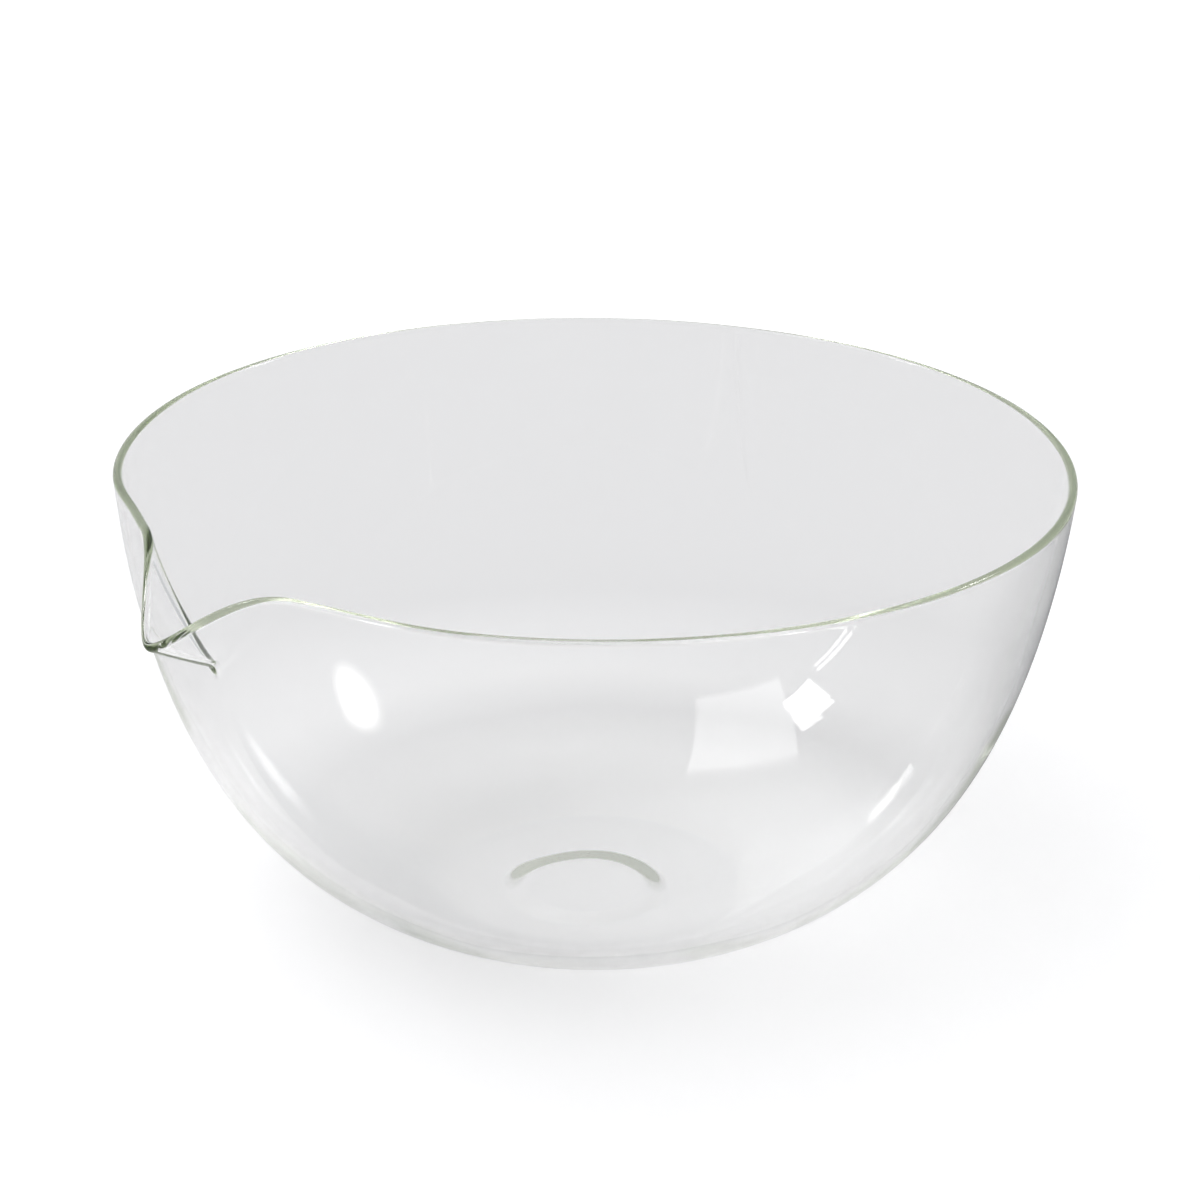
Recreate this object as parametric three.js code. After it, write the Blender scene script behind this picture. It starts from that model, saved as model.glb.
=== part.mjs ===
// Mixing bowl of clear heat-proof glass with a pouring lip, blown and pressed as one piece.
// Millimetres, +Z up. The bowl stands on z = 0 and its axis is the Z axis.
// Angles around the bowl are measured from +X towards +Y.
import * as THREE from "three";
import { ParametricGeometry } from "three/addons/geometries/ParametricGeometry.js";

// Outside of the bowl as (radius, height). The underside is flat out to the foot, the heel curves up
// gently from there, and the wall runs from the heel's end along two handles to the edge where the
// rounded rim begins.
const FOOT_RADIUS = 36;
const HEEL_END = new THREE.Vector2(61.1, 8.3);
const WALL_LOW_HANDLE = new THREE.Vector2(88.6, 23.7);
const WALL_HIGH_HANDLE = new THREE.Vector2(108, 52.5);
const RIM_EDGE = new THREE.Vector2(115, 112.8);

// Glass thickness: heaviest in the base, thinnest at the fire-polished rim
const BASE_GLASS = 2.6;
const RIM_GLASS = 2.2;

// Punt: the shallow round push-up of the underside, a little off the middle of the base
const PUNT_MIDDLE = new THREE.Vector3(-1.5, -6, 0);
const PUNT_RADIUS = 21.5;
const PUNT_TOP_RADIUS = 14.5;
const PUNT_HEIGHT = 1.6;
const PUNT_SHARE_INSIDE = 0.3; // how much of the punt's height the inside of the glass rises by

// Pouring lip: a V folded outwards and downwards from the rim
const LIP_DIRECTION = THREE.MathUtils.degToRad(220);
const LIP_HALF_WIDTH = THREE.MathUtils.degToRad(13.5);
const LIP_CREASE_ROUNDING = THREE.MathUtils.degToRad(2.3);
const LIP_LENGTH = 24; // how far down the wall the fold reaches
const LIP_REACH = 12.5; // how far the tip stands out from the rim's circle
const LIP_DROP = 15.8; // how far the tip lies under the rim
const LIP_FLARE = 2.1; // 1 makes the lip's two sides flat, more rolls them over into the rim
const LIP_START_SOFTNESS = 0.12; // share of the lip's length that the bend at its lower end takes

// The rim is drawn in a little on both sides of the lip
const PINCH_DEPTH = 2;
const PINCH_DIRECTION = THREE.MathUtils.degToRad(21); // from the middle of the lip
const PINCH_SPREAD = THREE.MathUtils.degToRad(8.5);

// Facets
const COLUMNS = 80;
const COLUMN_CROWDING = 0.74; // 0 spaces the columns evenly, near 1 gathers them at the lip
const WALL_ROWS = 8;
const LIP_ROWS = 8;
const RIM_ROWS = 4;
const HEEL_ROWS = 4;
const PUNT_ROWS = 4;

// Small steps along and around the glass, used to find its normal
const STEP = 0.05;
const TURN = 0.0005;

// Outside of the glass in section, without the punt, from the middle of the base to the edge of the rim.
function outsideSection() {
  const heelSlope = WALL_LOW_HANDLE.clone().sub(HEEL_END);
  const heelCorner = HEEL_END.x - (HEEL_END.y * heelSlope.x) / heelSlope.y;
  const section = new THREE.Path();
  section.moveTo(0, 0);
  section.lineTo(FOOT_RADIUS, 0);
  section.quadraticCurveTo(heelCorner, 0, HEEL_END.x, HEEL_END.y);
  section.bezierCurveTo(
    WALL_LOW_HANDLE.x,
    WALL_LOW_HANDLE.y,
    WALL_HIGH_HANDLE.x,
    WALL_HIGH_HANDLE.y,
    RIM_EDGE.x,
    RIM_EDGE.y,
  );
  return section;
}

const section = outsideSection();
const [footEnd, heelEnd, rimEdge] = section.getCurveLengths();
const lipStart = rimEdge - LIP_LENGTH;

// Glass thickness at a distance along the section.
function thickness(along) {
  return THREE.MathUtils.lerp(
    BASE_GLASS,
    RIM_GLASS,
    THREE.MathUtils.smoothstep(along, footEnd, rimEdge),
  );
}

// Zero below -softness, the value itself above +softness, and a smooth bend between them.
function softRamp(value, softness) {
  if (value >= softness) return value;
  const share = Math.max(0, (value + softness) / (2 * softness));
  return 2 * softness * share ** 3 * (1 - share / 2);
}

// How much the lip's fold moves the glass: 1 at its tip, 0 away from the lip. It opens upwards like a cone.
function lipFold(offAngle, climb) {
  const opening = softRamp(climb, LIP_START_SOFTNESS);
  if (opening === 0) return 0;
  const ridge = Math.hypot(offAngle, LIP_CREASE_ROUNDING) - LIP_CREASE_ROUNDING;
  const across = ridge / (LIP_HALF_WIDTH * opening);
  return opening * Math.max(0, 1 - across) ** LIP_FLARE;
}

// How far the punt lifts the underside at a distance along the section.
function punt(along) {
  return PUNT_HEIGHT * (1 - THREE.MathUtils.smoothstep(along, PUNT_TOP_RADIUS, PUNT_RADIUS));
}

// How much of the punt's way off the middle the glass follows: all of it at the punt, none from the heel on.
function offMiddle(along) {
  return 1 - THREE.MathUtils.smoothstep(along, PUNT_RADIUS, FOOT_RADIUS);
}

// How much the rim is drawn in beside the lip.
function pinch(offAngle, climb) {
  const away = (Math.abs(offAngle) - PINCH_DIRECTION) / PINCH_SPREAD;
  return Math.max(0, climb) ** 2 * Math.exp(-away * away);
}

// A point on the outside of the glass, without the punt. offAngle is measured from the middle of the lip.
function outside(offAngle, along) {
  const point = section.getPoint(along / rimEdge);
  const climb = (along - lipStart) / LIP_LENGTH;
  const fold = lipFold(offAngle, climb);
  const radius = point.x + LIP_REACH * fold - PINCH_DEPTH * pinch(offAngle, climb);
  const angle = LIP_DIRECTION + offAngle;
  return new THREE.Vector3(
    radius * Math.cos(angle),
    radius * Math.sin(angle),
    point.y - LIP_DROP * fold,
  );
}

// A point on the skin of the glass. turn is 0 on the outside and pi on the inside, and goes from one to
// the other over the rounded rim.
function skin(offAngle, along, turn) {
  const point = outside(offAngle, along);
  const low = Math.max(along, 2 * STEP); // on the axis the normal is that of the glass beside it
  const around = outside(offAngle + TURN, low).sub(outside(offAngle - TURN, low));
  const upwards = outside(offAngle, low).sub(outside(offAngle, low - STEP));
  const normal = around.clone().cross(upwards).normalize();
  const overRim = normal.clone().cross(around).normalize();
  const half = thickness(along) / 2;
  point.z += punt(along) * THREE.MathUtils.lerp(1, PUNT_SHARE_INSIDE, turn / Math.PI);
  point.addScaledVector(PUNT_MIDDLE, offMiddle(along));
  return point
    .addScaledVector(normal, half * (Math.cos(turn) - 1))
    .addScaledVector(overRim, half * Math.sin(turn));
}

// Evenly spaced distances from one end to the other, leaving out the first.
function spread(from, to, count) {
  return Array.from({ length: count }, (_, i) => from + ((to - from) * (i + 1)) / count);
}

// The rows of facets, from the middle of the underside to the middle of the inside.
function sectionRows() {
  const distances = [
    0,
    PUNT_TOP_RADIUS,
    ...spread(PUNT_TOP_RADIUS, PUNT_RADIUS, PUNT_ROWS),
    footEnd,
    ...spread(footEnd, heelEnd, HEEL_ROWS),
    ...spread(heelEnd, lipStart, WALL_ROWS),
    ...spread(lipStart, rimEdge, LIP_ROWS),
  ];
  const outer = distances.map((along) => ({ along, turn: 0 }));
  const rim = spread(0, Math.PI, RIM_ROWS)
    .slice(0, -1)
    .map((turn) => ({ along: rimEdge, turn }));
  const inner = distances.toReversed().map((along) => ({ along, turn: Math.PI }));
  return [...outer, ...rim, ...inner];
}

function bowlGeometry() {
  const rows = sectionRows();
  const place = (u, v, target) => {
    const even = Math.PI * (2 * u - 1);
    const offAngle = even - COLUMN_CROWDING * Math.sin(even);
    const { along, turn } = rows[Math.round(v * (rows.length - 1))];
    target.copy(skin(offAngle, along, turn));
  };
  return new ParametricGeometry(place, COLUMNS, rows.length - 1);
}

const clearGlass = new THREE.MeshStandardMaterial({
  color: 0xe9efec,
  roughness: 0.02,
  metalness: 0,
  transparent: true,
  opacity: 0.35,
});

const bowl = new THREE.Mesh(bowlGeometry(), clearGlass);
bowl.name = "glass_bowl";

const mixingBowl = new THREE.Group();
mixingBowl.add(bowl);

export default mixingBowl;
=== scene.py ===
"""Looks of the mixing bowl: one piece of clear glass with a folded pouring lip, on a pale floor.

Metres, +Z up, in the frame of the CAD model: the bowl stands on z = 0 and its axis is the Z axis.
"""

import math

import bpy
import numpy as np
from mathutils import Matrix, Vector, noise


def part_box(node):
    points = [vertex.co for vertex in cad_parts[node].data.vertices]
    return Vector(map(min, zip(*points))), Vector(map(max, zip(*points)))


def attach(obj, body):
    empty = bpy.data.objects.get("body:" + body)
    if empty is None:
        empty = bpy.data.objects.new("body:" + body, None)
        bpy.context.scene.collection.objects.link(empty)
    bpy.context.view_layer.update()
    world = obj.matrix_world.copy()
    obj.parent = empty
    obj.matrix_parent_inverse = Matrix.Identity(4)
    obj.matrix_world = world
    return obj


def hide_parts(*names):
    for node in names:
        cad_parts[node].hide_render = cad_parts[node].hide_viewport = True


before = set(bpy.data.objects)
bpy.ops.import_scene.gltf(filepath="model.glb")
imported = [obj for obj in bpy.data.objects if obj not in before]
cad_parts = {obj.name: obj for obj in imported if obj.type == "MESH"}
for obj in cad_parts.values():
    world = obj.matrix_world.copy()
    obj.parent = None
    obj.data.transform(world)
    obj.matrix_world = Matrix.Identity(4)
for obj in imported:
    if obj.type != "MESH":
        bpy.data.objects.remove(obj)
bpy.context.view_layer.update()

MM = 0.001
BOWL_LOW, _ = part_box("glass_bowl")

# ---------------------------------------------------------------------------
# The bowl's shape, as in the CAD model. Points are (radius, height).
# ---------------------------------------------------------------------------
FOOT_RADIUS = 36 * MM
HEEL_END = np.array([61.1, 8.3]) * MM
WALL_LOW_HANDLE = np.array([88.6, 23.7]) * MM
WALL_HIGH_HANDLE = np.array([108.0, 52.5]) * MM
RIM_EDGE = np.array([115.0, 112.8]) * MM

# Glass thickness: heaviest in the base, thinnest at the rim
BASE_GLASS = 2.6 * MM
RIM_GLASS = 2.2 * MM

# Punt: the shallow round push-up of the underside, a little off the middle of the base
PUNT_MIDDLE = np.array([-1.5, -6, 0]) * MM
PUNT_RADIUS = 21.5 * MM
PUNT_TOP_RADIUS = 14.5 * MM
PUNT_HEIGHT = 1.6 * MM
PUNT_SHARE_INSIDE = 0.3  # how much of the punt's height the inside of the glass rises by

# Pouring lip: a V folded outwards and downwards from the rim. It is LIP_LENGTH long down the wall,
# and its tip stands out by LIP_REACH and lies LIP_DROP under the rim.
LIP_DIRECTION = math.radians(220)
LIP_HALF_WIDTH = math.radians(13.5)
LIP_CREASE_ROUNDING = math.radians(2.3)
LIP_LENGTH = 24 * MM
LIP_REACH = 12.5 * MM
LIP_DROP = 15.8 * MM
LIP_FLARE = 2.1  # 1 makes the lip's two sides flat, more rolls them over into the rim
LIP_START_SOFTNESS = 0.12  # share of the lip's length that the bend at its lower end takes

# The rim is drawn in a little on both sides of the lip
PINCH_DEPTH = 2.0 * MM
PINCH_DIRECTION = math.radians(21)
PINCH_SPREAD = math.radians(8.5)

# Fineness of the mesh
COLUMNS = 512
COLUMN_CROWDING = 0.6  # 0 spaces the columns evenly, near 1 gathers them at the lip
PUNT_TOP_ROWS = 6
PUNT_ROWS = 14
FLAT_ROWS = 10
HEEL_ROWS = 18
WALL_ROWS = 60
LIP_ROWS = 32
RIM_ROWS = 14
CURVE_STEPS = 600  # points that each stretch of the section is measured by

# Small steps along and around the glass, used to find its normal
STEP = 0.1 * MM
TURN = 0.0005

# Waves that hand-worked glass keeps in its surface
WAVE_HEIGHT = 0.05 * MM
WAVE_LENGTH = 24 * MM


def bezier(*handles):
    """Points along a Bezier curve with these handles."""
    t = np.linspace(0, 1, CURVE_STEPS)[:, None]
    rows = [np.asarray(h, float) + 0 * t for h in handles]
    while len(rows) > 1:
        rows = [(1 - t) * a + t * b for a, b in zip(rows, rows[1:])]
    return rows[0]


def outside_section():
    """The outside of the bowl in section, without its punt.

    Returns its points, how far along the section each one lies, and where its stretches end.
    """
    slope = WALL_LOW_HANDLE - HEEL_END
    heel_corner = HEEL_END[0] - HEEL_END[1] * slope[0] / slope[1]
    stretches = [
        bezier((0, 0), (FOOT_RADIUS, 0)),
        bezier((FOOT_RADIUS, 0), (heel_corner, 0), HEEL_END),
        bezier(HEEL_END, WALL_LOW_HANDLE, WALL_HIGH_HANDLE, RIM_EDGE),
    ]
    points = np.concatenate([stretches[0]] + [s[1:] for s in stretches[1:]])
    lengths = np.hypot(*np.diff(points, axis=0).T)
    along = np.concatenate([[0], np.cumsum(lengths)])
    ends = [along[(CURVE_STEPS - 1) * (i + 1)] for i in range(len(stretches))]
    return points, along, ends


SECTION, SECTION_ALONG, SECTION_ENDS = outside_section()
FOOT_END, HEEL_CURVE_END, RIM_ALONG = SECTION_ENDS
LIP_START = RIM_ALONG - LIP_LENGTH


def thickness(along):
    """Glass thickness at a distance along the section."""
    share = smooth_share((along - FOOT_END) / (RIM_ALONG - FOOT_END))
    return BASE_GLASS + (RIM_GLASS - BASE_GLASS) * share


def smooth_share(value):
    """0 below 0 and 1 above 1, with a smooth rise between."""
    share = np.clip(value, 0, 1)
    return share * share * (3 - 2 * share)


def lip_fold(off_angle, climb):
    """How much the lip's fold moves the glass: 1 at its tip, 0 away from the lip.

    climb is 0 where the lip starts and 1 at the rim's edge. The fold opens upwards like a cone.
    """
    share = np.clip((climb + LIP_START_SOFTNESS) / (2 * LIP_START_SOFTNESS), 0, 1)
    start = 2 * LIP_START_SOFTNESS * share**3 * (1 - share / 2)
    opening = np.where(climb > LIP_START_SOFTNESS, climb, start)
    ridge = np.hypot(off_angle, LIP_CREASE_ROUNDING) - LIP_CREASE_ROUNDING
    across = ridge / (LIP_HALF_WIDTH * np.maximum(opening, 1e-9))
    return opening * np.clip(1 - across, 0, 1) ** LIP_FLARE


def outside(off_angle, along):
    """Points on the outside of the glass. off_angle is measured from the middle of the lip."""
    radius = np.interp(along, SECTION_ALONG, SECTION[:, 0])
    height = np.interp(along, SECTION_ALONG, SECTION[:, 1])
    climb = (along - LIP_START) / LIP_LENGTH
    fold = lip_fold(off_angle, climb)
    away = (np.abs(off_angle) - PINCH_DIRECTION) / PINCH_SPREAD
    pinch = np.maximum(climb, 0) ** 2 * np.exp(-away * away)
    radius = radius + LIP_REACH * fold - PINCH_DEPTH * pinch
    angle = LIP_DIRECTION + off_angle
    height = height - LIP_DROP * fold
    return np.stack([radius * np.cos(angle), radius * np.sin(angle), height], -1)


def unit(vectors):
    return vectors / np.linalg.norm(vectors, axis=-1, keepdims=True)


def skin(off_angle, along, turn):
    """Points on the skin of the glass, and the glass's normals there.

    turn is 0 on the outside and pi on the inside, and goes from one to the other over the rim.
    """
    low = np.maximum(along, 2 * STEP)
    around = outside(off_angle + TURN, low) - outside(off_angle - TURN, low)
    upwards = outside(off_angle, low) - outside(off_angle, low - STEP)
    normal = unit(np.cross(around, upwards))
    over_rim = unit(np.cross(normal, around))
    half = thickness(along)[..., None] / 2
    turn = turn[..., None]
    over_glass = (np.cos(turn) - 1) * normal + np.sin(turn) * over_rim
    points = outside(off_angle, along) + half * over_glass
    punt = PUNT_HEIGHT * smooth_share((PUNT_RADIUS - along) / (PUNT_RADIUS - PUNT_TOP_RADIUS))
    points[..., 2] += punt * np.where(turn[..., 0] > 1, PUNT_SHARE_INSIDE, 1)
    off_middle = smooth_share((FOOT_RADIUS - along) / (FOOT_RADIUS - PUNT_RADIUS))
    points += off_middle[..., None] * PUNT_MIDDLE
    return points, normal * np.cos(turn) + over_rim * np.sin(turn)


def spread(start, stop, count):
    """Evenly spaced distances from one end to the other, leaving out the first."""
    return list(np.linspace(start, stop, count + 1)[1:])


def section_rows():
    """(distance along, turn) of each row, from the underside's middle to the inside's middle."""
    distances = [
        *spread(0, PUNT_TOP_RADIUS, PUNT_TOP_ROWS),
        *spread(PUNT_TOP_RADIUS, PUNT_RADIUS, PUNT_ROWS),
        *spread(PUNT_RADIUS, FOOT_END, FLAT_ROWS),
        *spread(FOOT_END, HEEL_CURVE_END, HEEL_ROWS),
        *spread(HEEL_CURVE_END, LIP_START, WALL_ROWS),
        *spread(LIP_START, RIM_ALONG, LIP_ROWS),
    ]
    outer = [(along, 0.0) for along in distances]
    rim = [(RIM_ALONG, turn) for turn in spread(0, math.pi, RIM_ROWS)[:-1]]
    inner = [(along, math.pi) for along in reversed(distances)]
    return np.array(outer + rim + inner)


def waves(points, normals):
    """Moves the points a little along their normals, as the surface of worked glass wanders."""
    moved = []
    for point, normal in zip(points, normals):
        here = Vector(point) / WAVE_LENGTH
        calm = min(1.0, max(0.0, point[2] / HEEL_END[1]))  # the foot stays flat
        moved.append(point + normal * WAVE_HEIGHT * calm * noise.noise(here))
    return np.array(moved)


def bowl_mesh():
    """The skin of the glass, closed with a fan of triangles at the base's middle, out and in."""
    rows = section_rows()
    even = np.linspace(-math.pi, math.pi, COLUMNS, endpoint=False)
    off_angle = even - COLUMN_CROWDING * np.sin(even)
    angles, alongs = np.meshgrid(off_angle, rows[:, 0])
    turns = np.repeat(rows[:, 1:], COLUMNS, axis=1)
    points, normals = skin(angles, alongs, turns)
    points = waves(points.reshape(-1, 3), normals.reshape(-1, 3))
    under_middle = PUNT_MIDDLE + (0, 0, PUNT_HEIGHT)
    inside_middle = PUNT_MIDDLE + (0, 0, PUNT_HEIGHT * PUNT_SHARE_INSIDE + BASE_GLASS)
    vertices = [*map(tuple, points), tuple(under_middle), tuple(inside_middle)]
    under, inside = len(points), len(points) + 1
    last = (len(rows) - 1) * COLUMNS
    faces = []
    for i in range(COLUMNS):
        j = (i + 1) % COLUMNS
        faces.append((under, j, i))
        faces.append((last + i, last + j, inside))
        for row in range(0, last, COLUMNS):
            faces.append((row + i, row + j, row + COLUMNS + j, row + COLUMNS + i))
    mesh = bpy.data.meshes.new("bowl")
    mesh.from_pydata(vertices, [], faces)
    mesh.polygons.foreach_set("use_smooth", [True] * len(faces))
    mesh.update()
    return mesh


# ---------------------------------------------------------------------------
# Materials
# ---------------------------------------------------------------------------
def new_material(name):
    material = bpy.data.materials.new(name)
    material.use_nodes = True
    material.node_tree.nodes.clear()
    return material, material.node_tree


def add_math(tree, operation, first, second):
    """A math node on two outputs or numbers; returns its output."""
    node = tree.nodes.new("ShaderNodeMath")
    node.operation = operation
    for socket, value in zip(node.inputs, (first, second)):
        if isinstance(value, (int, float)):
            socket.default_value = value
        else:
            tree.links.new(value, socket)
    return node.outputs["Value"]


def add_mix(tree, share, first, second):
    """A colour mix; share, first and second are outputs or values. Returns its output."""
    node = tree.nodes.new("ShaderNodeMix")
    node.data_type = "RGBA"
    for name, value in (("Factor", share), ("A", first), ("B", second)):
        socket = next(i for i in node.inputs if i.name == name and i.enabled)
        if isinstance(value, bpy.types.NodeSocket):
            tree.links.new(value, socket)
        else:
            socket.default_value = value
    return next(o for o in node.outputs if o.enabled)


def add_fade(tree, value, edge, core):
    """0 where the value is at edge, 1 where it is at core, smooth between."""
    fade = tree.nodes.new("ShaderNodeMapRange")
    fade.interpolation_type = "SMOOTHSTEP"
    fade.inputs["From Min"].default_value = edge
    fade.inputs["From Max"].default_value = core
    tree.links.new(value, fade.inputs["Value"])
    return fade.outputs["Result"]


GLASS_IOR = 1.473
GLASS_TINT = (0.54, 0.63, 0.36, 1)  # green, and so thin that only long paths show it
GLASS_TINT_DENSITY = 2

# Smudges: patches of the surface, a few centimetres across, that are a little less glossy
SMUDGE_SCALE = 35
SMUDGE_DETAIL = 4
SMUDGE_START = 0.45  # noise below this is clean glass
SMUDGE_FULL = 0.75
SMUDGE_ROUGHNESS = 0.03

# Ripples that hand-worked glass keeps, finer than its waves
RIPPLE_SCALE = 60
RIPPLE_DETAIL = 1
RIPPLE_STRENGTH = 0.2
RIPPLE_HEIGHT = 0.05 * MM


def clear_glass():
    """Clear glass with faint ripples and smudges in its surface, and a trace of green within."""
    material, tree = new_material("clear_glass")
    nodes, links = tree.nodes, tree.links
    output = nodes.new("ShaderNodeOutputMaterial")
    shader = nodes.new("ShaderNodeBsdfPrincipled")
    shader.inputs["Base Color"].default_value = (1, 1, 1, 1)
    shader.inputs["Transmission Weight"].default_value = 1
    shader.inputs["IOR"].default_value = GLASS_IOR
    links.new(shader.outputs["BSDF"], output.inputs["Surface"])

    place = nodes.new("ShaderNodeTexCoord")
    smudges = nodes.new("ShaderNodeTexNoise")
    smudges.inputs["Scale"].default_value = SMUDGE_SCALE
    smudges.inputs["Detail"].default_value = SMUDGE_DETAIL
    links.new(place.outputs["Object"], smudges.inputs["Vector"])
    gloss = nodes.new("ShaderNodeMapRange")
    gloss.inputs["From Min"].default_value = SMUDGE_START
    gloss.inputs["From Max"].default_value = SMUDGE_FULL
    gloss.inputs["To Min"].default_value = 0
    gloss.inputs["To Max"].default_value = SMUDGE_ROUGHNESS
    links.new(smudges.outputs["Fac"], gloss.inputs["Value"])
    links.new(gloss.outputs["Result"], shader.inputs["Roughness"])

    ripples = nodes.new("ShaderNodeTexNoise")
    ripples.inputs["Scale"].default_value = RIPPLE_SCALE
    ripples.inputs["Detail"].default_value = RIPPLE_DETAIL
    links.new(place.outputs["Object"], ripples.inputs["Vector"])
    bump = nodes.new("ShaderNodeBump")
    bump.inputs["Strength"].default_value = RIPPLE_STRENGTH
    bump.inputs["Distance"].default_value = RIPPLE_HEIGHT
    links.new(ripples.outputs["Fac"], bump.inputs["Height"])
    links.new(bump.outputs["Normal"], shader.inputs["Normal"])

    tint = nodes.new("ShaderNodeVolumeAbsorption")
    tint.inputs["Color"].default_value = GLASS_TINT
    tint.inputs["Density"].default_value = GLASS_TINT_DENSITY
    links.new(tint.outputs["Volume"], output.inputs["Volume"])
    return material


# A studio's white floor is lit to pure white around the bowl, while the glass still shows the pale
# grey of the room. So the floor is lifted a little for the eye.
FLOOR_TONE = (0.90, 0.90, 0.912, 1)
FLOOR_LIFT = 0.315

# Painted glow: what the glass sees of the floor glows under the bowl only, in place of the part of
# the light that the glass keeps off: (distance from the middle of the glow, strength)
UNDER_BOWL_PAINTED_GLOW_MIDDLE = Vector((8, 22, 0)) * MM
UNDER_BOWL_PAINTED_GLOW = [(50 * MM, 0.26), (62 * MM, 0.24), (88 * MM, 0.11), (115 * MM, 0.15), (180 * MM, 0)]

# Painted shadow: the glass mirrors a dark patch painted on the floor behind the bowl on the right,
# in place of the bowl's own shadow there
PAINTED_SHADOW_MIDDLE = Vector((190, 130, 0)) * MM
PAINTED_SHADOW_RADIUS = 190 * MM
PAINTED_SHADOW_CORE = 90 * MM
PAINTED_SHADOW_TONE = (0.20, 0.205, 0.215, 1)


def add_distance(tree, place, middle):
    """The distance from a place, an output, to a fixed point; returns its output."""
    away = tree.nodes.new("ShaderNodeVectorMath")
    away.operation = "DISTANCE"
    tree.links.new(place, away.inputs[0])
    away.inputs[1].default_value = middle
    return away.outputs["Value"]


def floor_material():
    """Pale paper that gives off the light it is lifted by: an even glow for the eye, and a painted
    glow under the bowl for every other ray. A painted shadow lies on it behind the bowl on the
    right, which only the glass mirrors.
    """
    material, tree = new_material("floor")
    place = tree.nodes.new("ShaderNodeTexCoord").outputs["Object"]
    path = tree.nodes.new("ShaderNodeLightPath")
    # painted shadow on the floor, shown only to rays that the glass mirrors
    painted_shadow = add_fade(tree, add_distance(tree, place, PAINTED_SHADOW_MIDDLE), PAINTED_SHADOW_RADIUS, PAINTED_SHADOW_CORE)
    glossy, passed_on = path.outputs["Is Glossy Ray"], path.outputs["Is Transmission Ray"]
    mirrored = add_math(tree, "MULTIPLY", painted_shadow, add_math(tree, "GREATER_THAN", glossy, passed_on))
    paper = tree.nodes.new("ShaderNodeBsdfDiffuse")
    tree.links.new(add_mix(tree, mirrored, FLOOR_TONE, PAINTED_SHADOW_TONE), paper.inputs["Color"])

    # painted glow on the floor under the bowl for every ray but the eye's, which gets the even lift
    reach = UNDER_BOWL_PAINTED_GLOW[-1][0]
    under = tree.nodes.new("ShaderNodeValToRGB")
    for _ in UNDER_BOWL_PAINTED_GLOW[2:]:
        under.color_ramp.elements.new(0.5)
    for element, (distance, strength) in zip(under.color_ramp.elements, UNDER_BOWL_PAINTED_GLOW):
        element.position = distance / reach
        element.color = (strength, strength, strength, 1)
    share = add_math(tree, "DIVIDE", add_distance(tree, place, UNDER_BOWL_PAINTED_GLOW_MIDDLE), reach)
    tree.links.new(share, under.inputs["Fac"])
    for_eye = (FLOOR_LIFT, FLOOR_LIFT, FLOOR_LIFT, 1)
    lift = tree.nodes.new("ShaderNodeEmission")
    lifted = add_mix(tree, path.outputs["Is Camera Ray"], under.outputs["Color"], for_eye)
    tree.links.new(lifted, lift.inputs["Color"])

    both = tree.nodes.new("ShaderNodeAddShader")
    tree.links.new(paper.outputs["BSDF"], both.inputs[0])
    tree.links.new(lift.outputs["Emission"], both.inputs[1])
    output = tree.nodes.new("ShaderNodeOutputMaterial")
    tree.links.new(both.outputs["Shader"], output.inputs["Surface"])
    return material


# ---------------------------------------------------------------------------
# The piece and the stage
# ---------------------------------------------------------------------------
def add_object(name, data):
    made = bpy.data.objects.new(name, data)
    bpy.context.scene.collection.objects.link(made)
    return made


def build_bowl():
    mesh = bowl_mesh()
    mesh.materials.append(clear_glass())
    bowl = add_object("bowl", mesh)
    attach(bowl, "root")
    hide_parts("glass_bowl")
    return bowl


FLOOR_HALF = 6.0
FLOOR_GAP = 0.05 * MM  # keeps the bowl's flat foot and the floor apart


def build_floor():
    signs = ((-1, -1), (1, -1), (1, 1), (-1, 1))
    corners = [(x * FLOOR_HALF, y * FLOOR_HALF, 0) for x, y in signs]
    mesh = bpy.data.meshes.new("floor")
    mesh.from_pydata(corners, [], [(0, 1, 2, 3)])
    mesh.materials.append(floor_material())
    floor = add_object("floor", mesh)
    floor.location.z = BOWL_LOW.z - FLOOR_GAP


def direction(azimuth, elevation):
    """Unit vector from the bowl: azimuth 0 is towards the viewer and 90 to the right. Degrees."""
    a, e = math.radians(azimuth), math.radians(elevation)
    return Vector((math.sin(a) * math.cos(e), -math.cos(a) * math.cos(e), math.sin(e)))


def add_glow(tree, place, towards, edge, core):
    """1 within the angle core of a direction, 0 outside the angle edge, smooth between. Degrees."""
    dot = tree.nodes.new("ShaderNodeVectorMath")
    dot.operation = "DOT_PRODUCT"
    tree.links.new(place, dot.inputs[0])
    dot.inputs[1].default_value = towards
    edge_value, core_value = math.cos(math.radians(edge)), math.cos(math.radians(core))
    return add_fade(tree, dot.outputs["Value"], edge_value, core_value)


# The studio as the glass sees it, by the height of the direction looked in (0 level, 1 straight up)
ROOM_TONES = [
    (0.0, (0.80, 0.80, 0.81, 1)),
    (0.35, (0.72, 0.72, 0.73, 1)),
    (0.8, (0.60, 0.60, 0.61, 1)),
]

# A dark corner of the room, behind the bowl on the right
DARK_CORNER = (0.45, 0.47, 0.49, 1)
DARK_CORNER_TOWARDS = direction(163, 12)
DARK_CORNER_EDGE = 24
DARK_CORNER_CORE = 8

# What falls on the floor: a fill from all round, and a key from the upper left
FILL_LIGHT = 0.44
KEY_LIGHT = 1.57
KEY_TOWARDS = direction(-82, 57)
KEY_EDGE = 50
KEY_CORE = 10

BACKDROP = (1.05, 1.05, 1.05, 1)  # what the eye sees behind the bowl


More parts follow.
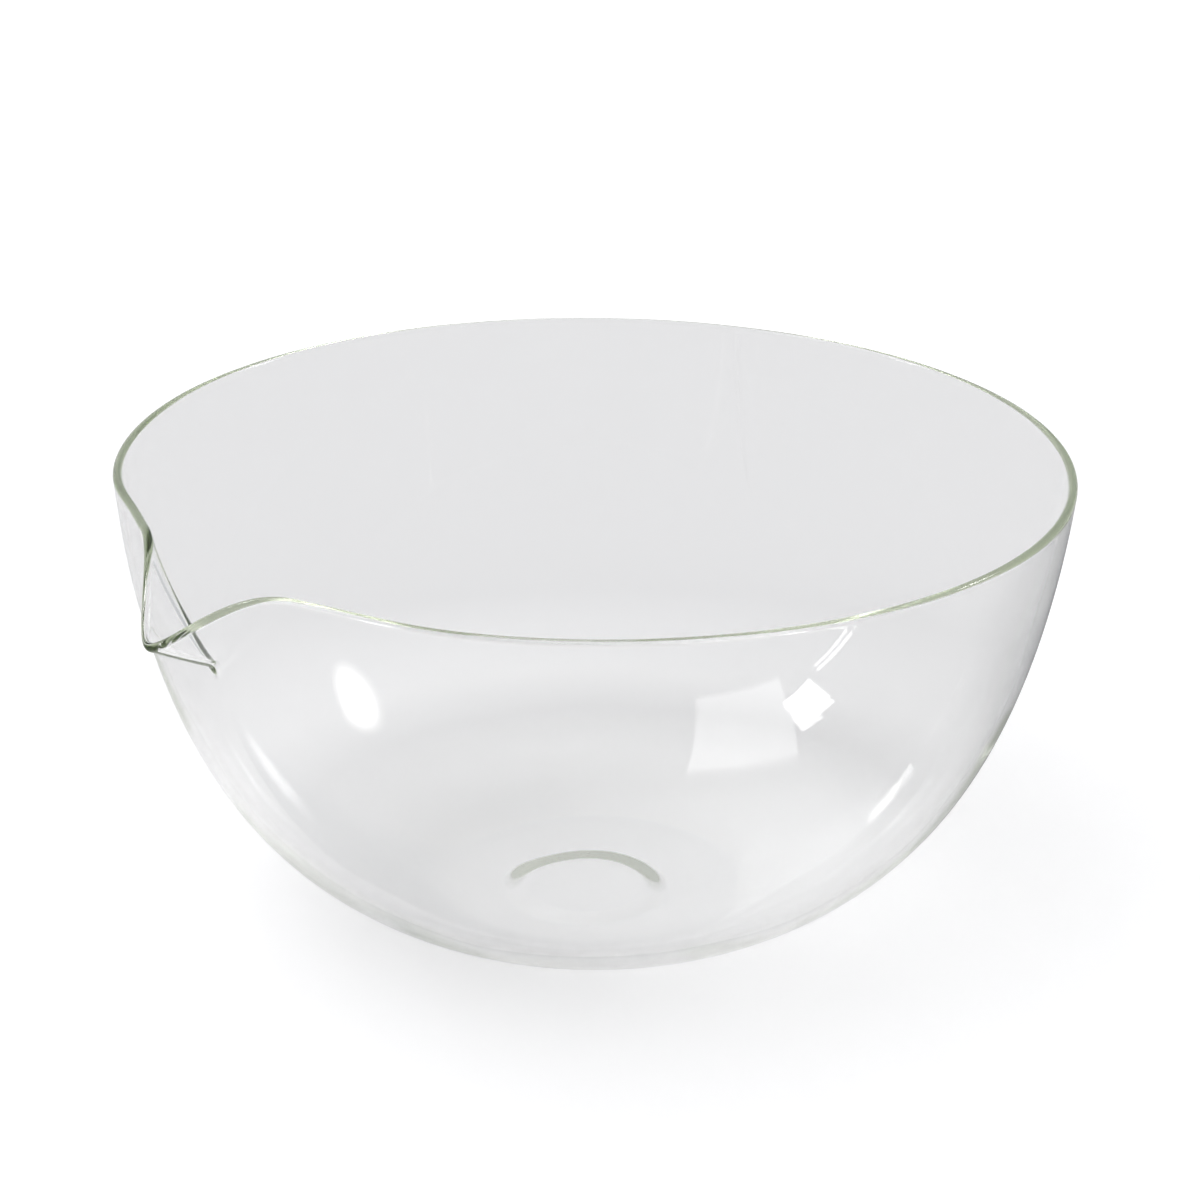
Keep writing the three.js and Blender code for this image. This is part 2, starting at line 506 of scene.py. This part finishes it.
def build_world():
    """A pale studio: the eye sees its backdrop, the glass its room, and the floor has its light."""
    world = bpy.data.worlds.new("studio")
    world.use_nodes = True
    world.cycles.sampling_method = "NONE"
    tree = world.node_tree
    tree.nodes.clear()
    place = tree.nodes.new("ShaderNodeTexCoord").outputs["Generated"]
    split = tree.nodes.new("ShaderNodeSeparateXYZ")
    tree.links.new(place, split.inputs["Vector"])
    room = tree.nodes.new("ShaderNodeValToRGB")
    room.color_ramp.elements.new(0.5)
    for element, (height, tone) in zip(room.color_ramp.elements, ROOM_TONES):
        element.position = height
        element.color = tone
    tree.links.new(split.outputs["Z"], room.inputs["Fac"])
    corner = add_glow(tree, place, DARK_CORNER_TOWARDS, DARK_CORNER_EDGE, DARK_CORNER_CORE)
    seen_by_glass = add_mix(tree, corner, room.outputs["Color"], DARK_CORNER)

    key = add_glow(tree, place, KEY_TOWARDS, KEY_EDGE, KEY_CORE)
    on_floor = add_math(tree, "ADD", add_math(tree, "MULTIPLY", key, KEY_LIGHT), FILL_LIGHT)

    path = tree.nodes.new("ShaderNodeLightPath")
    lights_floor = add_math(tree, "GREATER_THAN", path.outputs["Diffuse Depth"], 0.5)
    light = add_mix(tree, lights_floor, seen_by_glass, on_floor)
    sky = tree.nodes.new("ShaderNodeBackground")
    seen = add_mix(tree, path.outputs["Is Camera Ray"], light, BACKDROP)
    tree.links.new(seen, sky.inputs["Color"])
    output = tree.nodes.new("ShaderNodeOutputWorld")
    tree.links.new(sky.outputs["Background"], output.inputs["Surface"])
    bpy.context.scene.world = world


def soften(lamp, share):
    """Fades a round lamp out towards its edge, over this share of its radius."""
    lamp.use_nodes = True
    tree = lamp.node_tree
    emission = tree.nodes["Emission"]
    spot = tree.nodes.new("ShaderNodeNewGeometry").outputs["Parametric"]
    middle, edge = (0.5, 0.5, 0), 0.5  # in the lamp's own parametric coordinates
    fade = add_fade(tree, add_distance(tree, spot, middle), edge, edge * (1 - share))
    tree.links.new(fade, emission.inputs["Strength"])


def add_softbox(name, azimuth, elevation, distance, width, height, radiance, tilt=0, soft_edge=0):
    """A flat lamp that only the glass mirrors. radiance is its brightness, where white paper is 1.

    tilt turns it in its own plane, in degrees. soft_edge is the share of its radius over which it
    fades out.
    """
    lamp = bpy.data.lights.new(name, "AREA")
    lamp.shape = "ELLIPSE" if soft_edge else "RECTANGLE"
    lamp.size, lamp.size_y = width, height
    lamp.energy = radiance * width * height * math.pi
    if soft_edge:
        soften(lamp, soft_edge)
    softbox = add_object(name, lamp)
    towards = direction(azimuth, elevation)
    softbox.location = towards * distance
    turn = towards.to_track_quat("Z", "Y").to_matrix().to_4x4()
    softbox.rotation_euler = (turn @ Matrix.Rotation(math.radians(tilt), 4, "Z")).to_euler()
    softbox.visible_camera = False
    softbox.visible_diffuse = False


def build_lights():
    add_softbox(
        "right_lamp", azimuth=108, elevation=38.5, distance=1.3,
        width=0.36, height=0.52, radiance=10, tilt=-58, soft_edge=1,
    )
    add_softbox(
        "left_lamp", azimuth=-102, elevation=43.5, distance=1.3,
        width=0.21, height=0.21, radiance=10, tilt=20,
    )
    add_softbox(
        "left_lamp_low", azimuth=-108, elevation=45, distance=1.3,
        width=0.13, height=0.13, radiance=9, tilt=20,
    )
    add_softbox(
        "left_strip", azimuth=-92, elevation=31, distance=1.3,
        width=0.02, height=0.30, radiance=9,
    )
    add_softbox(
        "rear_panel", azimuth=-105, elevation=59, distance=1.6,
        width=0.85, height=0.62, radiance=1.7,
    )
    add_softbox(
        "rear_panel_core", azimuth=-105, elevation=59, distance=1.6,
        width=0.74, height=0.52, radiance=1.5,
    )


CAMERA_DISTANCE = 860 * MM
CAMERA_ELEVATION = 21.74
CAMERA_ROLL = math.radians(0.55)
CAMERA_AIM = Vector((1.5, 0, 77.6)) * MM
CAMERA_LENS = 105.9  # millimetres


def build_camera():
    data = bpy.data.cameras.new("camera")
    data.lens = CAMERA_LENS
    camera = add_object("camera", data)
    back = direction(0, CAMERA_ELEVATION)
    turn = back.to_track_quat("Z", "Y").to_matrix().to_4x4()
    place = Matrix.Translation(CAMERA_AIM + back * CAMERA_DISTANCE)
    camera.matrix_world = place @ turn @ Matrix.Rotation(CAMERA_ROLL, 4, "Z")
    bpy.context.scene.camera = camera


GLASS_BOUNCES = 1000  # the light that shows in the rim has run a long way inside the wall


def set_look():
    """True colours, and enough bounces for light to find its way out of the rim."""
    scene = bpy.context.scene
    scene.view_settings.view_transform = "Standard"
    scene.cycles.max_bounces = GLASS_BOUNCES
    scene.cycles.glossy_bounces = GLASS_BOUNCES
    scene.cycles.transmission_bounces = GLASS_BOUNCES


build_camera()
build_bowl()
build_floor()
build_world()
build_lights()
set_look()
